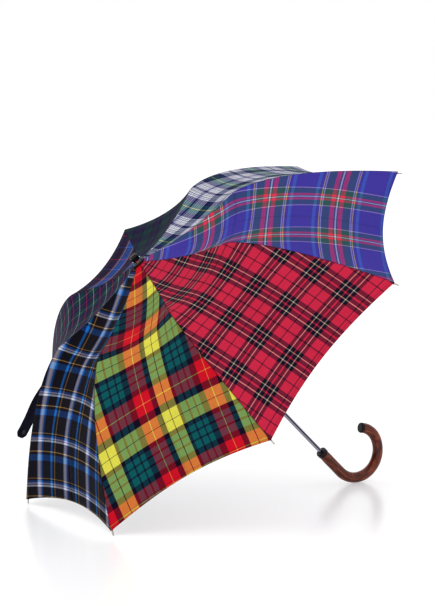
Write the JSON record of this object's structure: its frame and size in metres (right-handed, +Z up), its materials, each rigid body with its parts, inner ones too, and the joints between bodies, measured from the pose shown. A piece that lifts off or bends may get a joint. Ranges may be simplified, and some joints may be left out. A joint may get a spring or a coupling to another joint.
{
  "type": "umbrella",
  "caption": "Open crook-handled umbrella with a tartan canopy on hinged ribs, folded by a runner on a steel shaft, lying on its rib tips and handle.",
  "frame": {"origin": "centre of the bounding box's base, on the floor that the rib tips and the crook rest on", "axes": "+Z up, +X along the floor from the crown's side towards the handle, Y across the canopy"},
  "size_m": [0.71, 0.9188, 0.6364],
  "materials": {
    "shaft_steel": "polished fluted tube",
    "bright_metal": "polished",
    "crown_black": "gloss black",
    "lining_cloth": "plain dark weave",
    "strap_cloth": "plain dark navy weave",
    "black_plastic": "moulded",
    "dark_wood": "dark stained and polished",
    "crook_wood": "red-brown, mottled, polished",
    "rib_steel": "black coated steel",
    "tip_metal": "dull nickel",
    "tartan_1": "woven tartan of white, lavender, navy and dark green",
    "tartan_2": "woven tartan of violet-blue with red, teal and white lines",
    "tartan_3": "woven tartan of red and black set on the bias with cream lines",
    "tartan_4": "woven tartan of olive, green, orange, red and yellow lines",
    "tartan_5": "woven tartan of near black with blue, white and gold lines",
    "tartan_6": "woven tartan of dark green and navy with red and pale lines",
    "tartan_7": "woven tartan of navy and purple with a wide blue band edged white and red",
    "tartan_8": "woven dark tartan of green and navy"
  },
  "bodies": {
    "shaft": {"shaft_tube": "shaft_steel", "crown_ferrule": "crown_black", "crown_band": "bright_metal", "crown_washer": "crown_black", "crown_patch": "lining_cloth", "top_notch": "black_plastic", "notch_wire": "bright_metal", "handle_collar": "dark_wood", "crook_handle": "crook_wood", "handle_end_cap": "dark_wood", "canopy_gore_1": "tartan_1", "canopy_gore_2": "tartan_2", "canopy_gore_3": "tartan_3", "canopy_gore_4": "tartan_4", "canopy_gore_5": "tartan_5", "canopy_gore_6": "tartan_6", "canopy_gore_7": "tartan_7", "canopy_gore_8": "tartan_8"},
    "runner": {"runner": "black_plastic"},
    "inner_rib_1": {"inner_rib_1": "rib_steel"},
    "inner_rib_2": {"inner_rib_2": "rib_steel"},
    "inner_rib_3": {"inner_rib_3": "rib_steel"},
    "inner_rib_4": {"inner_rib_4": "rib_steel"},
    "inner_rib_5": {"inner_rib_5": "rib_steel"},
    "inner_rib_6": {"inner_rib_6": "rib_steel"},
    "inner_rib_7": {"inner_rib_7": "rib_steel"},
    "inner_rib_8": {"inner_rib_8": "rib_steel"},
    "outer_rib_1": {"outer_rib_1": "rib_steel", "rib_tip_1": "tip_metal"},
    "outer_rib_2": {"outer_rib_2": "rib_steel", "rib_tip_2": "tip_metal"},
    "outer_rib_3": {"outer_rib_3": "rib_steel", "rib_tip_3": "tip_metal"},
    "outer_rib_4": {"outer_rib_4": "rib_steel", "rib_tip_4": "tip_metal"},
    "outer_rib_5": {"outer_rib_5": "rib_steel", "rib_tip_5": "tip_metal"},
    "outer_rib_6": {"outer_rib_6": "rib_steel", "rib_tip_6": "tip_metal", "tie_strap": "strap_cloth", "tie_strap_stud": "bright_metal"},
    "outer_rib_7": {"outer_rib_7": "rib_steel", "rib_tip_7": "tip_metal"},
    "outer_rib_8": {"outer_rib_8": "rib_steel", "rib_tip_8": "tip_metal"},
    "stretcher_1": {"stretcher_1": "rib_steel"},
    "stretcher_2": {"stretcher_2": "rib_steel"},
    "stretcher_3": {"stretcher_3": "rib_steel"},
    "stretcher_4": {"stretcher_4": "rib_steel"},
    "stretcher_5": {"stretcher_5": "rib_steel"},
    "stretcher_6": {"stretcher_6": "rib_steel"},
    "stretcher_7": {"stretcher_7": "rib_steel"},
    "stretcher_8": {"stretcher_8": "rib_steel"},
    "open_catch": {"open_catch": "bright_metal"},
    "closed_catch": {"closed_catch": "bright_metal"}
  },
  "joints": [
    {"name": "runner_slide", "type": "slide", "parent": "shaft", "child": "runner", "axis": [0.7026, 0, -0.7116], "range_m": [0, 0.2745], "deforming": ["canopy_gore_1", "canopy_gore_2", "canopy_gore_3", "canopy_gore_4", "canopy_gore_5", "canopy_gore_6", "canopy_gore_7", "canopy_gore_8", "tie_strap"]},
    {"name": "inner_rib_hinge_1", "type": "hinge", "parent": "shaft", "child": "inner_rib_1", "pos_m": [-0.17075, -0.01637, 0.46961], "axis": [0.2723, 0.9239, 0.2689], "range_deg": [0, 82.77]},
    {"name": "inner_rib_hinge_2", "type": "hinge", "parent": "shaft", "child": "inner_rib_2", "pos_m": [-0.17461, -0.02178, 0.46581], "axis": [0.6574, 0.3827, 0.6491], "range_deg": [0, 82.77]},
    {"name": "inner_rib_hinge_3", "type": "hinge", "parent": "shaft", "child": "inner_rib_3", "pos_m": [-0.18005, -0.02178, 0.46043], "axis": [0.6574, -0.3827, 0.6491], "range_deg": [0, 82.77]},
    {"name": "inner_rib_hinge_4", "type": "hinge", "parent": "shaft", "child": "inner_rib_4", "pos_m": [-0.1839, -0.01637, 0.45663], "axis": [0.2723, -0.9239, 0.2689], "range_deg": [0, 82.77]},
    {"name": "inner_rib_hinge_5", "type": "hinge", "parent": "shaft", "child": "inner_rib_5", "pos_m": [-0.1839, -0.00871, 0.45663], "axis": [-0.2723, -0.9239, -0.2689], "range_deg": [0, 82.77]},
    {"name": "inner_rib_hinge_6", "type": "hinge", "parent": "shaft", "child": "inner_rib_6", "pos_m": [-0.18005, -0.0033, 0.46043], "axis": [-0.6574, -0.3827, -0.6491], "range_deg": [0, 82.77]},
    {"name": "inner_rib_hinge_7", "type": "hinge", "parent": "shaft", "child": "inner_rib_7", "pos_m": [-0.17461, -0.0033, 0.46581], "axis": [-0.6574, 0.3827, -0.6491], "range_deg": [0, 82.77]},
    {"name": "inner_rib_hinge_8", "type": "hinge", "parent": "shaft", "child": "inner_rib_8", "pos_m": [-0.17075, -0.00871, 0.46961], "axis": [-0.2723, 0.9239, -0.2689], "range_deg": [0, 82.77]},
    {"name": "outer_rib_hinge_1", "type": "hinge", "parent": "inner_rib_1", "child": "outer_rib_1", "pos_m": [-0.02497, -0.0971, 0.59939], "axis": [0.2723, 0.9239, 0.2689], "range_deg": [-28.36, 0]},
    {"name": "outer_rib_hinge_2", "type": "hinge", "parent": "inner_rib_2", "child": "outer_rib_2", "pos_m": [-0.11007, -0.2167, 0.51537], "axis": [0.6574, 0.3827, 0.6491], "range_deg": [-28.36, 0]},
    {"name": "outer_rib_hinge_3", "type": "hinge", "parent": "inner_rib_3", "child": "outer_rib_3", "pos_m": [-0.23043, -0.2167, 0.39654], "axis": [0.6574, -0.3827, 0.6491], "range_deg": [-28.36, 0]},
    {"name": "outer_rib_hinge_4", "type": "hinge", "parent": "inner_rib_4", "child": "outer_rib_4", "pos_m": [-0.31553, -0.0971, 0.31251], "axis": [0.2723, -0.9239, 0.2689], "range_deg": [-28.36, 0]},
    {"name": "outer_rib_hinge_5", "type": "hinge", "parent": "inner_rib_5", "child": "outer_rib_5", "pos_m": [-0.31553, 0.07203, 0.31251], "axis": [-0.2723, -0.9239, -0.2689], "range_deg": [-28.36, 0]},
    {"name": "outer_rib_hinge_6", "type": "hinge", "parent": "inner_rib_6", "child": "outer_rib_6", "pos_m": [-0.23043, 0.19162, 0.39654], "axis": [-0.6574, -0.3827, -0.6491], "range_deg": [-28.36, 0]},
    {"name": "outer_rib_hinge_7", "type": "hinge", "parent": "inner_rib_7", "child": "outer_rib_7", "pos_m": [-0.11007, 0.19162, 0.51537], "axis": [-0.6574, 0.3827, -0.6491], "range_deg": [-28.36, 0]},
    {"name": "outer_rib_hinge_8", "type": "hinge", "parent": "inner_rib_8", "child": "outer_rib_8", "pos_m": [-0.02497, 0.07203, 0.59939], "axis": [-0.2723, 0.9239, -0.2689], "range_deg": [-28.36, 0]},
    {"name": "stretcher_hinge_1", "type": "hinge", "parent": "inner_rib_1", "child": "stretcher_1", "pos_m": [-0.03422, -0.08965, 0.58313], "axis": [0.2723, 0.9239, 0.2689], "range_deg": [-134.63, 0]},
    {"name": "stretcher_hinge_2", "type": "hinge", "parent": "inner_rib_2", "child": "stretcher_2", "pos_m": [-0.11181, -0.1987, 0.50652], "axis": [0.6574, 0.3827, 0.6491], "range_deg": [-134.63, 0]},
    {"name": "stretcher_hinge_3", "type": "hinge", "parent": "inner_rib_3", "child": "stretcher_3", "pos_m": [-0.22156, -0.1987, 0.39817], "axis": [0.6574, -0.3827, 0.6491], "range_deg": [-134.63, 0]},
    {"name": "stretcher_hinge_4", "type": "hinge", "parent": "inner_rib_4", "child": "stretcher_4", "pos_m": [-0.29915, -0.08965, 0.32155], "axis": [0.2723, -0.9239, 0.2689], "range_deg": [-134.63, 0]},
    {"name": "stretcher_hinge_5", "type": "hinge", "parent": "inner_rib_5", "child": "stretcher_5", "pos_m": [-0.29915, 0.06457, 0.32155], "axis": [-0.2723, -0.9239, -0.2689], "range_deg": [-134.63, 0]},
    {"name": "stretcher_hinge_6", "type": "hinge", "parent": "inner_rib_6", "child": "stretcher_6", "pos_m": [-0.22156, 0.17362, 0.39817], "axis": [-0.6574, -0.3827, -0.6491], "range_deg": [-134.63, 0]},
    {"name": "stretcher_hinge_7", "type": "hinge", "parent": "inner_rib_7", "child": "stretcher_7", "pos_m": [-0.11181, 0.17362, 0.50652], "axis": [-0.6574, 0.3827, -0.6491], "range_deg": [-134.63, 0]},
    {"name": "stretcher_hinge_8", "type": "hinge", "parent": "inner_rib_8", "child": "stretcher_8", "pos_m": [-0.03422, 0.06457, 0.58313], "axis": [-0.2723, 0.9239, -0.2689], "range_deg": [-134.63, 0]},
    {"name": "open_catch_press", "type": "slide", "parent": "shaft", "child": "open_catch", "axis": [-0.7116, 0, -0.7026], "range_m": [0, 0.0016], "stiffness_N_per_m": 800, "springref_m": -0.001},
    {"name": "closed_catch_press", "type": "slide", "parent": "shaft", "child": "closed_catch", "axis": [-0.7116, 0, -0.7026], "range_m": [0, 0.0016], "stiffness_N_per_m": 800, "springref_m": -0.001}
  ],
  "couplings": [
    {"joint": "inner_rib_hinge_1", "follows": "runner_slide", "rad_per_m": 5.2306},
    {"joint": "outer_rib_hinge_1", "follows": "runner_slide", "rad_per_m": -1.7711},
    {"joint": "stretcher_hinge_1", "follows": "runner_slide", "rad_per_m": -8.5282},
    {"joint": "inner_rib_hinge_2", "follows": "runner_slide", "rad_per_m": 5.2306},
    {"joint": "outer_rib_hinge_2", "follows": "runner_slide", "rad_per_m": -1.7711},
    {"joint": "stretcher_hinge_2", "follows": "runner_slide", "rad_per_m": -8.5282},
    {"joint": "inner_rib_hinge_3", "follows": "runner_slide", "rad_per_m": 5.2306},
    {"joint": "outer_rib_hinge_3", "follows": "runner_slide", "rad_per_m": -1.7711},
    {"joint": "stretcher_hinge_3", "follows": "runner_slide", "rad_per_m": -8.5282},
    {"joint": "inner_rib_hinge_4", "follows": "runner_slide", "rad_per_m": 5.2306},
    {"joint": "outer_rib_hinge_4", "follows": "runner_slide", "rad_per_m": -1.7711},
    {"joint": "stretcher_hinge_4", "follows": "runner_slide", "rad_per_m": -8.5282},
    {"joint": "inner_rib_hinge_5", "follows": "runner_slide", "rad_per_m": 5.2306},
    {"joint": "outer_rib_hinge_5", "follows": "runner_slide", "rad_per_m": -1.7711},
    {"joint": "stretcher_hinge_5", "follows": "runner_slide", "rad_per_m": -8.5282},
    {"joint": "inner_rib_hinge_6", "follows": "runner_slide", "rad_per_m": 5.2306},
    {"joint": "outer_rib_hinge_6", "follows": "runner_slide", "rad_per_m": -1.7711},
    {"joint": "stretcher_hinge_6", "follows": "runner_slide", "rad_per_m": -8.5282},
    {"joint": "inner_rib_hinge_7", "follows": "runner_slide", "rad_per_m": 5.2306},
    {"joint": "outer_rib_hinge_7", "follows": "runner_slide", "rad_per_m": -1.7711},
    {"joint": "stretcher_hinge_7", "follows": "runner_slide", "rad_per_m": -8.5282},
    {"joint": "inner_rib_hinge_8", "follows": "runner_slide", "rad_per_m": 5.2306},
    {"joint": "outer_rib_hinge_8", "follows": "runner_slide", "rad_per_m": -1.7711},
    {"joint": "stretcher_hinge_8", "follows": "runner_slide", "rad_per_m": -8.5282}
  ]
}
